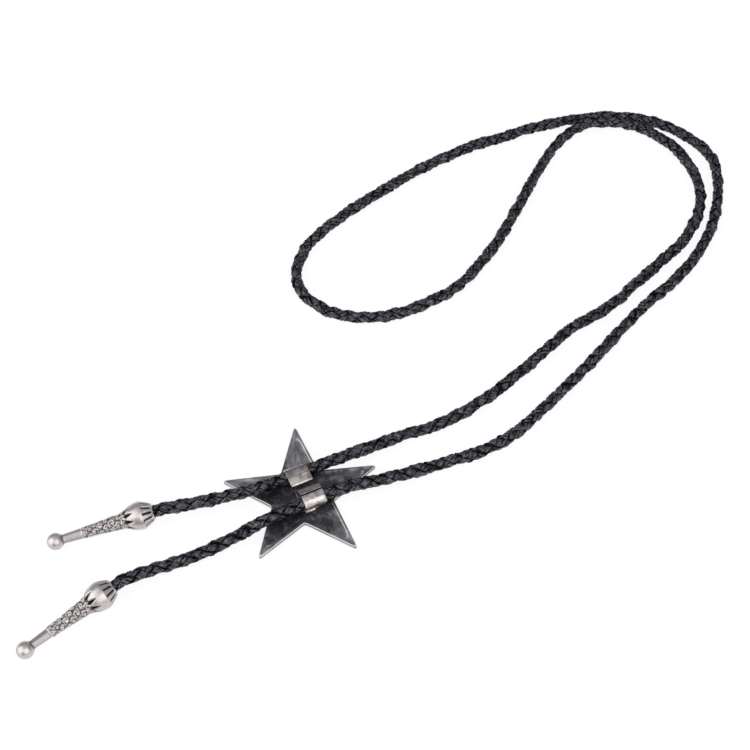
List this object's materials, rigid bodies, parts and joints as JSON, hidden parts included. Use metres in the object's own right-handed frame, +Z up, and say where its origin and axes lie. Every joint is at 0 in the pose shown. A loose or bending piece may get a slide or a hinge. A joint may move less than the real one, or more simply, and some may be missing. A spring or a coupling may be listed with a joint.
{
  "type": "bolo tie",
  "caption": "Round braided leather necktie cord whose ends carry cast metal tips, held by a five-pointed star slide with a soldered clasp on its hollow back.",
  "frame": {"origin": "middle of the flat facet on the star's front, on the surface that the tie lies on", "axes": "+Y from the star towards the neck end of the cord, +Z up out of the star's hollow back, +X to the side; the star lies face down"},
  "size_m": [0.1583, 0.3366, 0.01],
  "materials": {
    "braided_leather": "black, waxed, semi-matt",
    "antique_pewter": "cast, darkened, polished on the high edges, with a bright plated clasp",
    "antique_silver": "cast, silver plated, blackened in the recesses"
  },
  "bodies": {
    "root": {"star_slide": "antique_pewter", "tip_upper": "antique_silver", "tip_lower": "antique_silver", "cord": "braided_leather"}
  },
  "joints": []
}
